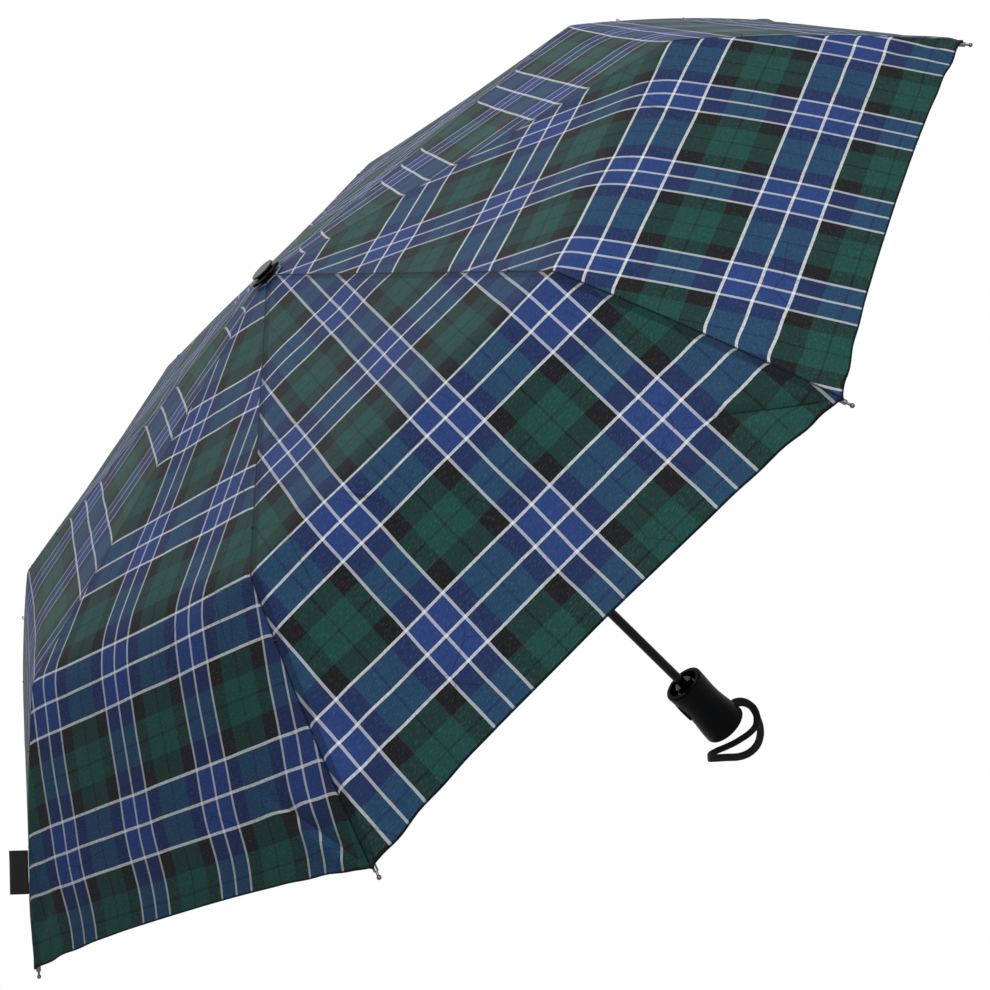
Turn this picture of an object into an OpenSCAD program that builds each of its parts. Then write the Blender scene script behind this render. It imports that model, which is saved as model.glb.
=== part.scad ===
// Three-fold compact umbrella, shown open.
// Origin: centre of the grip, on the shaft's axis. +Z runs along the shaft to the crown. Millimetres.

/* [Canopy] */
// Height of the cloth's apex above the grip's centre
apex_z = 511.25; // [505:0.25:520]
// Height of the cloth over the outer knee's pivot, square to the rib
knee_rise = 4.29; // [4.2:0.01:4.8]
// How far the cloth's knee lies beyond the outer knee's pivot
knee_ahead = 0.1; // [0:0.05:0.3]
// Height of the cloth's corner over the outer rib's chord
corner_rise = 4.92; // [4.8:0.01:5.4]
// How far the cloth's corner stays back from the end of the rod
corner_back = 0.5; // [0:0.1:2]
// How much more the outer stretch of cloth bulges than the rod
extra_bulge = 0.4; // [0.3:0.1:1]
// How far the hem curves in at the middle of a gore
hem_curve = 8; // [4:1:16]
// Thickness of the cloth solid
cloth_t = 0.6; // [0.4:0.1:0.8]
// Radius of the hole at the cloth's apex
cloth_hole_r = 4.9; // [4.7:0.1:5.4]
// Length of the blank label in the seam over a rib, along the seam
label_len = 30; // [20:1:40]
// How far the label stands out of the seam
label_w = 13; // [8:1:16]
// Distance of the label from the corner of the cloth, along the seam
label_offset = 52; // [40:1:70]
// Lean of the label from upright, towards the next gore, in degrees
label_lean = 30; // [0:5:50]

/* [Ribs] */
// Radius of the ring on which the ribs pivot at the crown
crown_pivot_r = 10.5; // [10.3:0.1:11]
// Height of the crown pivots below the cloth's apex
crown_pivot_drop = 8.2; // [8:0.1:8.8]
// Slope of the open inner ribs below level, in degrees
rib_slope = 9; // [8.9:0.1:9.4]
// Length of the top rib between its pivots
top_len = 166; // [160:1:170]
// Length of the middle rib between its pivots
middle_len = 163.5; // [158:0.5:165]
// Slope of the open outer rib's chord, in degrees
outer_slope = 41.3; // [41.2:0.1:42]
// Length of the outer rib from its pivot to the end of the rod
outer_len = 195; // [190:1:198]
// How far the outer rib bows over its chord
outer_bow = 3; // [1:0.5:4]
// Distance of the knee pivots from the line of the ribs
knee_offset = 2; // [2:0.1:2.3]
// Half width of the top rib's channel
top_half_w = 2.2; // [2.1:0.05:2.4]
// Half width of the middle rib's channel
middle_half_w = 1.7; // [1.65:0.05:1.8]
// Distance of the outer rib's rod from its pivot, across the rod
rod_offset = 1.8; // [1.7:0.05:2]
// Thickness of the channels' sheet metal
sheet_t = 0.4; // [0.3:0.05:0.45]
// Height of the channels' top above the line of the ribs
rib_top = 1.2; // [1:0.1:1.4]
// Depth of the top rib's channel walls below the line
top_depth = 2.5; // [2.4:0.1:2.6]
// Depth of the middle rib's channel walls below the line
middle_depth = 1.2; // [1:0.1:1.4]
// Radius of the outer rib's rod
rod_r = 1.2; // [1:0.1:1.3]
// Radius of the rod's socket
socket_r = 1.6; // [1.5:0.05:1.7]
// Radius of the ball on each tip
ball_r = 1.5; // [1.2:0.1:1.8]
// Distance of the ball's centre from the end of the rod
ball_reach = 4.7; // [4:0.1:6]

/* [Stretchers] */
// Place of the stretcher's pivot along the top rib
stretcher_at = 85; // [82:1:88]
// Depth of the stretcher's pivot below the line of the rib
stretcher_drop = 1.5; // [1.4:0.1:1.6]
// Half width of the stretcher
stretcher_half_w = 1.2; // [1:0.1:1.3]
// Half height of the stretcher
stretcher_half_h = 0.75; // [0.6:0.05:0.8]
// Height of the open runner's ring below the crown pivots
runner_drop = 55; // [52:1:58]
// Radius of the runner's ring
runner_ring_r = 8.2; // [8.2:0.05:8.3]
// Radius of the stretcher's eye
stretcher_eye_r = 1.4; // [1.3:0.05:1.45]
// Clearance between the stretcher's end and the runner's ring
ring_gap = 0.2; // [0.1:0.05:0.3]

/* [Pins and rings] */
// Radius of the rivets and pins
pin_r = 0.7; // [0.6:0.05:0.7]
// Radius of the wire rings
wire_r = 0.6; // [0.5:0.05:0.65]
// Clearance of a bore round its pin or wire
pin_gap = 0.08; // [0.05:0.01:0.1]
// Radius of the eyes round the pivots
eye_r = 1.5; // [1.4:0.05:1.55]
// Half width of the tongues at the crown and the outer knee
tongue_half_w = 0.8; // [0.7:0.05:0.9]
// Side clearance between a tongue and its fork
side_gap = 0.3; // [0.2:0.05:0.35]

/* [Shaft] */
// Radius of the lower tube
lower_r = 4; // [3.8:0.1:4.2]
// Radius of the middle tube
middle_r = 5; // [4.9:0.1:5.1]
// Radius of the upper tube
upper_r = 6; // [5.9:0.05:6.1]
// Running clearance between the tubes, and of the runner on its tube
slide_gap = 0.06; // [0.03:0.01:0.1]
// Wall of the lower tube
lower_wall = 0.6; // [0.4:0.1:0.8]
// Length of tube that stays inside the next when the shaft is drawn out
overlap = 30; // [20:1:32]
// Length of the upper tube below the crown pivots
upper_len = 208; // [206:1:212]
// Length of the middle tube
middle_tube_len = 165; // [160:1:167]

/* [Crown] */
// Radius of the crown hub's flange
hub_r = 12.5; // [12:0.1:13]
// Half height of the crown hub's flange
hub_half_h = 3; // [2.8:0.1:3.2]
// Radius of the crown cap
cap_r = 10; // [9:0.5:11]
// Height of the cap's flat top above the cloth's apex
cap_top = 6; // [5:0.5:7]
// Radius of the lobed washer under the cap
washer_r = 12; // [11:0.5:13]

/* [Runner] */
// Radius of the runner's barrel
barrel_r = 7.55; // [7.4:0.05:7.55]
// Length of the barrel above the ring
barrel_up = 9; // [6:0.5:9]
// Length of the barrel below the ring
barrel_down = 27; // [20:1:28]
// Radius of the runner's toothed flange
flange_r = 11.5; // [10.5:0.5:12]
// Half height of the toothed flange
flange_half_h = 2.4; // [2:0.1:2.6]
// Side clearance of the stretchers in the flange's slots
slot_gap = 0.3; // [0.2:0.05:0.4]

/* [Handle] */
// Length of the grip
grip_len = 56; // [53:0.5:57]
// Radius of the grip at its top
grip_top_r = 17.6; // [17:0.1:18]
// Radius of the grip at its waist
grip_waist_r = 16.4; // [16:0.1:16.8]
// Radius of the grip at its bottom
grip_bottom_r = 19; // [18.5:0.1:19.5]
// Radius of the dish in the grip's top
dish_r = 13.6; // [12:0.1:14.5]
// Depth of the dish
dish_depth = 5.5; // [5.5:0.5:7]
// Radius of the collar round the shaft
collar_r = 7.8; // [6:0.1:8.5]
// Height of the collar
collar_h = 6.5; // [4:0.5:6.5]
// Radius of the end cap
end_cap_r = 15; // [12:0.5:16]
// Thickness of the end cap
end_cap_t = 2.4; // [2:0.1:3]
// Length of the push button
button_len = 16; // [12:0.5:18]
// Width of the push button
button_w = 9; // [7:0.5:10]
// Height of the push button's centre above the grip's centre
button_z = 8.5; // [6:0.5:10]
// How far the button stands out of the grip
button_proud = 1.6; // [1:0.1:2]
// How far the button travels when it is pressed
button_travel = 2; // [1:0.1:2.5]
// Clearance round the button
button_gap = 0.25; // [0.2:0.05:0.4]

/* [Wrist strap] */
// Diameter of the wrist strap
strap_d = 3.2; // [2.5:0.1:3.4]

/* [Hidden] */
$fn = 48;
round_fine = 96;
round_small = 24;
round_ball = 32;
ribs = 8;
rib_step = 360 / ribs;
first_rib = -rib_step / 2;
e = 0.01;
cut = 1;
// Lengths of a rib's pieces beside its pivots: solid tongue, where the channel begins, where it ends.
tongue_len = 8;
channel_from = 6;
channel_back = 4;
ear_overlap = 2;
middle_ear_len = 3;
ear_cut = 10;

function rib_az(k) = first_rib - (k - 1) * rib_step;

crown_z = apex_z - crown_pivot_drop;
ring_z = crown_z - runner_drop;

// The outer knee's pivot and the outer rib's frame, in the plane of a rib, from the crown pivot.
knee_x = top_len * cos(rib_slope) + middle_len * cos(rib_slope) - knee_offset * sin(rib_slope);
knee_z = -(top_len + middle_len) * sin(rib_slope) - knee_offset * cos(rib_slope);

// The stretcher's pivot on the top rib, from the shaft's axis and the crown pivot's height.
joint_r = crown_pivot_r + stretcher_at * cos(rib_slope) - stretcher_drop * sin(rib_slope);
joint_z = -stretcher_at * sin(rib_slope) - stretcher_drop * cos(rib_slope);
// The stretcher's end lies off the ring by its own half height, the wire and a gap, across the bar.
ring_reach = stretcher_half_h + wire_r + ring_gap;
bar_dx = joint_r - runner_ring_r;
bar_dz = joint_z + runner_drop;
bar_dist = sqrt(bar_dx * bar_dx + bar_dz * bar_dz);
stretcher_len = sqrt(bar_dist * bar_dist - ring_reach * ring_reach);
// Angle of the bar below level, seen from its pivot towards the shaft.
bar_slope = atan2(bar_dz, bar_dx) + asin(ring_reach / bar_dist);

// Rings of points along the wrist strap's route: out of the grip, round the loop and back in.
strap_route = [
    [15, 2.2, -22], [18.5, 2.2, -22], [22.5, 1.6, -24], [25.6, -0.8, -28], [26.6, -4, -32],
    [25.2, -8, -35.5], [22.5, -11.5, -38], [17.5, -15, -40], [9.5, -17, -39.5], [1, -16.5, -38],
    [-5.5, -15.8, -36.5], [-13, -14.8, -34], [-20, -13.5, -31.5], [-26, -11.3, -31],
    [-29.2, -7, -34.5], [-26.5, -3, -40.5], [-19, -3.3, -48], [-11, -5.4, -55], [-3, -6.5, -58.7],
    [5, -6.6, -59.2], [11, -6.5, -57], [16.2, -6.2, -53], [20.3, -6, -47.4], [23, -4.8, -42],
    [25.4, -2.6, -37.5], [26.3, 0.8, -33], [25.8, 3.8, -29.4], [23.2, 6, -25.6], [19, 6.5, -22.4],
    [15, 6.4, -22]];

// ---------- frames of the rib's pieces ----------

// Local x runs along the rib, y across it, z towards the cloth.
module at_rib(k) {
    rotate([0, 0, rib_az(k)]) translate([crown_pivot_r, 0, crown_z]) children();
}

module at_inner_knee(k) {
    at_rib(k) rotate([0, rib_slope, 0]) translate([top_len, 0, knee_offset]) children();
}

module at_outer_knee(k) {
    at_rib(k) translate([knee_x, 0, knee_z]) rotate([0, outer_slope, 0]) children();
}

// Local x runs from the stretcher's pivot to its end at the runner, z away from the shaft.
module at_stretcher(k) {
    rotate([0, 0, rib_az(k)]) translate([joint_r, 0, crown_z + joint_z])
        rotate([0, 180 - bar_slope, 0]) children();
}

// ---------- shared shapes ----------

// Cylinder across the rib, centred on it.
module cross_pin(x, z, r, half_w) {
    translate([x, 0, z]) rotate([90, 0, 0]) cylinder(r = r, h = 2 * half_w, center = true);
}

// Box from x0 to x1 and from z0 to z1, centred across the rib.
module bar(x0, x1, half_w, z0, z1) {
    translate([x0, -half_w, z0]) cube([x1 - x0, 2 * half_w, z1 - z0]);
}

// Sheet-metal channel, open downwards.
module channel(x0, x1, half_w, z0, z1) {
    difference() {
        bar(x0, x1, half_w, z0, z1);
        bar(x0 - cut, x1 + cut, half_w - sheet_t, z0 - cut, z1 - sheet_t);
    }
}

// Two ears round a pivot at px, pz, reaching back to x0 and to the height z_far.
module ears(px, pz, x0, z_far, half_w) {
    difference() {
        union() {
            bar(x0, px, half_w, min(pz, z_far), max(pz, z_far));
            cross_pin(px, pz, eye_r, half_w);
        }
        bar(x0 - cut, px + eye_r + cut, half_w - sheet_t, -ear_cut, ear_cut);
    }
}

// ---------- one rib ----------

module top_rib(k) {
    web_end = top_len - channel_back;
    edge = 0.1;
    color([0.12, 0.12, 0.13]) at_rib(k) rotate([0, rib_slope, 0]) {
        difference() {
            union() {
                cross_pin(0, 0, eye_r, tongue_half_w);
                bar(0, tongue_len, tongue_half_w, -rib_top + edge, rib_top - edge);
            }
            cross_pin(0, 0, wire_r + pin_gap, tongue_half_w + cut);
        }
        channel(channel_from, web_end, top_half_w, -top_depth, rib_top);
        ears(top_len, knee_offset, web_end - ear_overlap, -top_depth, top_half_w);
        cross_pin(top_len, knee_offset, pin_r, top_half_w);
        cross_pin(stretcher_at, -stretcher_drop, pin_r, top_half_w);
    }
}

module stretcher(k) {
    color([0.14, 0.14, 0.15]) at_stretcher(k) difference() {
        union() {
            cross_pin(0, 0, stretcher_eye_r, stretcher_half_w);
            bar(0, stretcher_len, stretcher_half_w, -stretcher_half_h, stretcher_half_h);
            cross_pin(stretcher_len, 0, stretcher_half_h, stretcher_half_w);
        }
        cross_pin(0, 0, pin_r + pin_gap, stretcher_half_w + cut);
    }
}

module middle_rib(k) {
    tongue_w = top_half_w - sheet_t - side_gap;
    line = -knee_offset;
    tongue_top = 0.6;
    end = middle_len - channel_back;
    color([0.12, 0.12, 0.13]) at_inner_knee(k) {
        difference() {
            union() {
                cross_pin(0, 0, eye_r, tongue_w);
                bar(0, tongue_len, tongue_w, line - middle_depth, tongue_top);
            }
            cross_pin(0, 0, pin_r + pin_gap, tongue_w + cut);
        }
        channel(channel_from, end, middle_half_w, line - middle_depth, line + rib_top);
        translate([0, 0, line])
            ears(middle_len, -knee_offset, end - middle_ear_len, rib_top, middle_half_w);
        cross_pin(middle_len, line - knee_offset, pin_r, middle_half_w);
    }
}

// Rod bowed over its chord, from x = 0 to x = len.
module bowed_rod(len, bow, r) {
    arc_r = (len * len / 4 + bow * bow) / (2 * bow);
    half = asin(len / 2 / arc_r);
    translate([len / 2, 0, bow - arc_r]) rotate([90, 0, 0]) rotate([0, 0, 90 - half])
        rotate_extrude(angle = 2 * half, $fn = 360) translate([arc_r, 0])
            circle(r = r, $fn = round_small);
}

rod_from = 9;
rod_len = outer_len - rod_from;
end_turn = atan2(4 * outer_bow, rod_len);

module outer_rib(k) {
    tongue_w = middle_half_w - sheet_t - side_gap;
    socket_from = 5;
    socket_len = 13;
    tongue_top = rod_offset + 0.8;
    color([0.1, 0.1, 0.11]) at_outer_knee(k) {
        difference() {
            union() {
                cross_pin(0, 0, eye_r, tongue_w);
                bar(0, tongue_len - 1, tongue_w, 0, tongue_top);
            }
            cross_pin(0, 0, pin_r + pin_gap, tongue_w + cut);
        }
        translate([socket_from, 0, rod_offset]) rotate([0, 90, 0])
            cylinder(r = socket_r, h = socket_len);
        translate([rod_from, 0, rod_offset]) bowed_rod(rod_len, outer_bow, rod_r);
    }
}

module rib_tip(k) {
    sleeve_back = 7;
    sleeve_wall = 0.35;
    sleeve_r = rod_r + pin_gap + sleeve_wall;
    neck_r = ball_r * 0.55;
    color([0.75, 0.76, 0.78]) at_outer_knee(k) translate([outer_len, 0, rod_offset])
        rotate([0, end_turn, 0]) rotate([0, 90, 0]) {
            difference() {
                translate([0, 0, -sleeve_back]) cylinder(r = sleeve_r, h = sleeve_back + 1);
                translate([0, 0, -sleeve_back - cut]) cylinder(r = rod_r + pin_gap, h = sleeve_back + cut);
            }
            cylinder(r = neck_r, h = ball_reach);
            translate([0, 0, ball_reach]) sphere(r = ball_r, $fn = round_ball);
        }
}

// ---------- shaft ----------

module tube(r, wall, z0, z1) {
    difference() {
        translate([0, 0, z0]) cylinder(r = r, h = z1 - z0);
        translate([0, 0, z0 - cut]) cylinder(r = r - wall, h = z1 - z0 + 2 * cut);
    }
}

upper_bottom = crown_z - upper_len;
middle_top = upper_bottom + overlap;
middle_bottom = middle_top - middle_tube_len;
lower_top = middle_bottom + overlap;
grip_top = grip_len / 2;
lower_bottom = -grip_len / 4;

module lower_tube() {
    color([0.03, 0.03, 0.03]) tube(lower_r, lower_wall, lower_bottom, lower_top);
}

module middle_tube() {
    color([0.04, 0.04, 0.04])
        tube(middle_r, middle_r - lower_r - slide_gap, middle_bottom, middle_top);
}

module upper_tube() {
    color([0.05, 0.05, 0.05])
        tube(upper_r, upper_r - middle_r - slide_gap, upper_bottom, crown_z - hub_half_h);
}

// ---------- crown ----------

hub_stem_r = 4.2;
hub_wall = 1.2;
hub_barrel_r = upper_r + hub_wall;
hub_socket = 8;
washer_t = 1.4;

module slots(r0, r1, half_w, z0, z1) {
    for (k = [1:ribs]) rotate([0, 0, rib_az(k)]) translate([r0, -half_w, z0])
        cube([r1 - r0, 2 * half_w, z1 - z0]);
}

module crown_hub() {
    color([0.06, 0.06, 0.07]) difference() {
        union() {
            translate([0, 0, crown_z - hub_half_h]) cylinder(r = hub_r, h = 2 * hub_half_h);
            translate([0, 0, crown_z - hub_half_h - hub_socket])
                cylinder(r = hub_barrel_r, h = hub_socket + hub_half_h);
            translate([0, 0, crown_z]) cylinder(r = hub_stem_r, h = apex_z - crown_z + washer_t);
        }
        translate([0, 0, crown_z - hub_half_h - hub_socket - cut])
            cylinder(r = upper_r, h = hub_socket + cut);
        slots(crown_pivot_r - eye_r - side_gap, hub_r + cut, tongue_half_w + side_gap,
            crown_z - hub_half_h - cut, crown_z + eye_r + side_gap);
        translate([0, 0, crown_z]) rotate_extrude() translate([crown_pivot_r, 0])
            circle(r = wire_r, $fn = round_small);
    }
}

module wire_ring(r, z) {
    translate([0, 0, z]) rotate_extrude() translate([r, 0]) circle(r = wire_r, $fn = round_small);
}

module crown_ring() {
    color([0.7, 0.7, 0.72]) wire_ring(crown_pivot_r, crown_z);
}

// Eight-lobed washer, dished to the slope of the cloth.
module crown_washer() {
    lobe_r = washer_r * 0.3;
    plate_r = washer_r * 0.86;
    rise = cloth_t / 2 + 0.1;
    drop_at_rim = washer_r * tan(roof_slope);
    color([0.05, 0.05, 0.05]) difference() {
        translate([0, 0, apex_z - drop_at_rim + rise]) union() {
            cylinder(r = plate_r, h = drop_at_rim + washer_t - rise);
            for (k = [1:ribs]) rotate([0, 0, rib_az(k)]) translate([washer_r - lobe_r, 0, 0])
                cylinder(r = lobe_r, h = drop_at_rim);
        }
        translate([0, 0, apex_z - drop_at_rim + rise - e])
            cylinder(r1 = washer_r + e, r2 = 0.1, h = drop_at_rim);
        translate([0, 0, crown_z]) cylinder(r = hub_stem_r, h = 2 * crown_pivot_drop);
    }
}

module crown_cap() {
    edge = 0.8;
    color([0.02, 0.02, 0.02]) translate([0, 0, apex_z + washer_t]) rotate_extrude()
        polygon([[0, 0], [cap_r - edge, 0], [cap_r, edge], [cap_r, cap_top - washer_t - edge],
            [cap_r - edge, cap_top - washer_t], [0, cap_top - washer_t]]);
}

// ---------- runner ----------

module runner() {
    color([0.05, 0.05, 0.06]) difference() {
        union() {
            translate([0, 0, ring_z - barrel_down]) cylinder(r = barrel_r, h = barrel_down + barrel_up);
            translate([0, 0, ring_z - flange_half_h]) cylinder(r = flange_r, h = 2 * flange_half_h);
        }
        translate([0, 0, ring_z - barrel_down - cut])
            cylinder(r = upper_r + slide_gap, h = barrel_down + barrel_up + 2 * cut);
        slots(barrel_r, flange_r + cut, stretcher_half_w + slot_gap,
            ring_z - flange_half_h - cut, ring_z + flange_half_h + cut);
        wire_ring(runner_ring_r, ring_z);
    }
}

module runner_ring() {
    color([0.7, 0.7, 0.72]) wire_ring(runner_ring_r, ring_z);
}

// ---------- canopy ----------

// The cloth's knee and corner, which follow the outer knee's pivot and the end of the rod.
knee_r = crown_pivot_r + knee_x + knee_rise * sin(rib_slope) + knee_ahead * cos(rib_slope);
knee_drop = crown_pivot_drop - knee_z - knee_rise * cos(rib_slope) + knee_ahead * sin(rib_slope);
roof_slope = atan2(knee_drop, knee_r);
corner_len = outer_len - corner_back;
canopy_r = crown_pivot_r + knee_x + corner_len * cos(outer_slope) + corner_rise * sin(outer_slope);
corner_drop = crown_pivot_drop - knee_z + corner_len * sin(outer_slope) - corner_rise * cos(outer_slope);
cloth_bulge = outer_bow + extra_bulge;
outer_dx = canopy_r - knee_r;
outer_dz = corner_drop - knee_drop;
outer_chord = sqrt(outer_dx * outer_dx + outer_dz * outer_dz);
roof_run = knee_r / cos(roof_slope);
cloth_run = roof_run + outer_chord;

// Radius and height below the apex of the cloth over a rib, at the distance s along it.
function rib_r(s) = s <= roof_run ? s * cos(roof_slope) :
    let(x = s - roof_run, lift = 4 * cloth_bulge * x / outer_chord * (1 - x / outer_chord))
    knee_r + (x * outer_dx + lift * outer_dz) / outer_chord;
function rib_z(s) = s <= roof_run ? -s * sin(roof_slope) :
    let(x = s - roof_run, lift = 4 * cloth_bulge * x / outer_chord * (1 - x / outer_chord))
    -knee_drop + (-x * outer_dz + lift * outer_dx) / outer_chord;

// Point of a gore: u runs from the apex hole to the hem, v from one rib to the next.
function gore_point(u, v, lift) =
    let(mid = (4 * v * (1 - v) + 1 - pow(2 * v - 1, 4)) / 2,
        s = hole_run + (cloth_run - hole_run) * u * (1 - hem_curve / cloth_run * mid * u),
        r = rib_r(s), half = rib_step / 2,
        x = r * cos(half), y = r * sin(half) * (2 * v - 1))
    [x, y, apex_z + rib_z(s) + lift];

hole_run = cloth_hole_r / cos(roof_slope);
knee_u = (roof_run - hole_run) / (cloth_run - hole_run);
gore_rows = [0, 0.12, 0.3, 0.5, knee_u, 0.73, 0.8, 0.87, 0.94, 1];
gore_cols = 6;

// One closed shell: rows run from the apex hole to the hem, columns all round the eight gores.
module canopy() {
    cols = ribs * gore_cols;
    n = len(gore_rows);
    function around(p, a) = [p.x * cos(a) - p.y * sin(a), p.x * sin(a) + p.y * cos(a), p.z];
    function row(u, lift) = [for (k = [0:ribs - 1]) for (j = [0:gore_cols - 1])
        around(gore_point(u, j / gore_cols, lift), first_rib + (k + 0.5) * rib_step)];
    top = [for (u = gore_rows) for (p = row(u, cloth_t / 2)) p];
    low = [for (u = gore_rows) for (p = row(u, -cloth_t / 2)) p];
    q = n * cols;
    end = (n - 1) * cols;
    faces = [
        for (j = [0:cols - 1]) let(i = (j + 1) % cols) for (f = [
            for (m = [0:n - 2]) let(a = m * cols, b = a + cols) for (g = [
                [a + j, a + i, b + i], [a + j, b + i, b + j],
                [q + a + j, q + b + i, q + a + i], [q + a + j, q + b + j, q + b + i]]) g,
            [i, j, q + j], [i, q + j, q + i],
            [end + j, end + i, q + end + i], [end + j, q + end + i, q + end + j]]) f];
    color([0.05, 0.15, 0.45]) polyhedron(points = concat(top, low), faces = faces, convexity = 6);
}

// Loop label sewn into the seam over rib 4, standing just clear of the cloth.
module seam_label() {
    label_t = 0.8;
    label_gap = cloth_t / 2 + 0.4;
    s = cloth_run - label_offset - label_len;
    fall = rib_z(s) - rib_z(s + label_len);
    slope = atan2(fall, rib_r(s + label_len) - rib_r(s));
    color([0.02, 0.02, 0.02]) rotate([0, 0, rib_az(4)]) translate([rib_r(s), 0, apex_z + rib_z(s)])
        rotate([0, slope, 0]) rotate([label_lean, 0, 0]) translate([0, -label_t / 2, label_gap])
            cube([label_len, label_t, label_w]);
}

// ---------- handle ----------

button_back = 3;
button_depth = button_back + button_travel + 2;

// Outline of the grip: rounded at both ends, widest at the bottom, narrowest at the waist.
grip_edge = 1.6;
grip_bottom = -grip_len / 2;
waist_z = grip_bottom + grip_len * 0.56;

function eased(t) = (1 - cos(180 * t)) / 2;
function grip_radius(z) = grip_waist_r + (z < waist_z ?
    (grip_bottom_r - grip_waist_r) * eased((waist_z - z) / (waist_z - grip_bottom)) :
    (grip_top_r - grip_waist_r) * eased((z - waist_z) / (grip_top - waist_z)));
function grip_arc(r, z, from) = [for (a = [from:22.5:from + 90])
    [r + grip_edge * cos(a), z + grip_edge * sin(a)]];

module handle_grip() {
    low = grip_bottom + grip_edge;
    high = grip_top - grip_edge;
    steps = 8;
    color([0.05, 0.05, 0.055]) difference() {
        rotate_extrude($fn = round_fine) polygon(concat(
            [[0, grip_bottom]],
            grip_arc(grip_radius(low) - grip_edge, low, -90),
            [for (i = [1:steps - 1]) let(z = low + (high - low) * i / steps) [grip_radius(z), z]],
            grip_arc(grip_radius(high) - grip_edge, high, 0),
            [[0, grip_top]]));
        translate([0, 0, grip_top - dish_depth]) cylinder(r = dish_r, h = dish_depth + cut);
        translate([0, 0, lower_bottom]) cylinder(r = lower_r, h = grip_len);
        translate([0, 0, grip_bottom - cut]) cylinder(r = end_cap_r, h = end_cap_t + cut);
        button_pocket();
        strap_pocket();
    }
}

module button_pocket() {
    w = button_w + 2 * button_gap;
    len = button_len + 2 * button_gap;
    translate([-grip_top_r - cut, -w / 2, button_z - len / 2])
        cube([button_depth + cut, w, len]);
}

module push_button() {
    face_r = 60;
    color([0.05, 0.05, 0.055]) intersection() {
        translate([-grip_waist_r - button_proud, -button_w / 2, button_z - button_len / 2])
            cube([button_back + button_proud, button_w, button_len]);
        translate([face_r - grip_waist_r - button_proud, 0, button_z]) rotate([90, 0, 0])
            cylinder(r = face_r, h = 2 * button_w, center = true, $fn = 2 * round_fine);
        translate([0, 0, button_z - button_len])
            cylinder(r = grip_waist_r + button_proud, h = 2 * button_len, $fn = round_fine);
    }
}

module handle_collar() {
    foot = 1;
    edge = 1;
    color([0.03, 0.03, 0.03]) translate([0, 0, grip_top - dish_depth]) difference() {
        union() {
            cylinder(r = collar_r + foot, h = foot);
            cylinder(r = collar_r, h = collar_h - edge);
            translate([0, 0, collar_h - edge]) cylinder(r1 = collar_r, r2 = collar_r - edge, h = edge);
        }
        translate([0, 0, -cut]) cylinder(r = lower_r, h = collar_h + 2 * cut);
    }
}

module handle_end_cap() {
    color([0.04, 0.04, 0.045]) translate([0, 0, grip_bottom]) cylinder(r = end_cap_r, h = end_cap_t);
}

anchor_x0 = 11;
anchor_x1 = 15;
anchor_y0 = -0.5;
anchor_y1 = 9;
anchor_z0 = -25.4;
anchor_z1 = -18.4;

module anchor_box(x1) {
    translate([anchor_x0, anchor_y0, anchor_z0])
        cube([x1 - anchor_x0, anchor_y1 - anchor_y0, anchor_z1 - anchor_z0]);
}

module strap_pocket() {
    anchor_box(grip_bottom_r + cut);
}

module strap_anchor() {
    color([0.03, 0.03, 0.03]) anchor_box(anchor_x1);
}

function unit(v) = v / norm(v);

module wrist_strap() {
    sides = 8;
    pts = strap_route;
    n = len(pts);
    first = [1, 0, 0];
    last = [-1, 0, 0];
    tangent = [for (i = [0:n - 1]) i == 0 ? first : i == n - 1 ? last : unit(pts[i + 1] - pts[i - 1])];
    // The first direction across the strap is carried along the route without twist.
    function carried(i) = i == 0 ? [0, 0, 1] :
        let(w = carried(i - 1)) unit(w - (w * tangent[i]) * tangent[i]);
    across = [for (i = [0:n - 1]) carried(i)];
    rings = [for (i = [0:n - 1]) for (j = [0:sides - 1])
        let(a = 360 * j / sides, w = across[i], b = cross(tangent[i], w))
        pts[i] + strap_d / 2 * (cos(a) * w + sin(a) * b)];
    faces = concat(
        [for (i = [0:n - 2]) for (j = [0:sides - 1]) for (f = [
            [i * sides + j, (i + 1) * sides + j, (i + 1) * sides + (j + 1) % sides],
            [i * sides + j, (i + 1) * sides + (j + 1) % sides, i * sides + (j + 1) % sides]]) f],
        [[for (j = [0:sides - 1]) j], [for (j = [sides - 1:-1:0]) (n - 1) * sides + j]]);
    color([0.02, 0.02, 0.02]) polyhedron(points = rings, faces = faces, convexity = 6);
}

handle_grip();
handle_collar();
handle_end_cap();
push_button();
strap_anchor();
wrist_strap();
lower_tube();
middle_tube();
upper_tube();
crown_hub();
crown_ring();
crown_washer();
crown_cap();
runner();
runner_ring();
canopy();
seam_label();
for (k = [1:ribs]) {
    top_rib(k);
    stretcher(k);
    middle_rib(k);
    outer_rib(k);
    rib_tip(k);
}
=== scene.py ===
"""Looks of an open three-fold umbrella: tartan canopy, jointed ribs, telescoping shaft, grip and strap.

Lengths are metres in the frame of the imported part: origin at the grip's centre, +Z to the crown.
"""

import functools
import math

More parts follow.
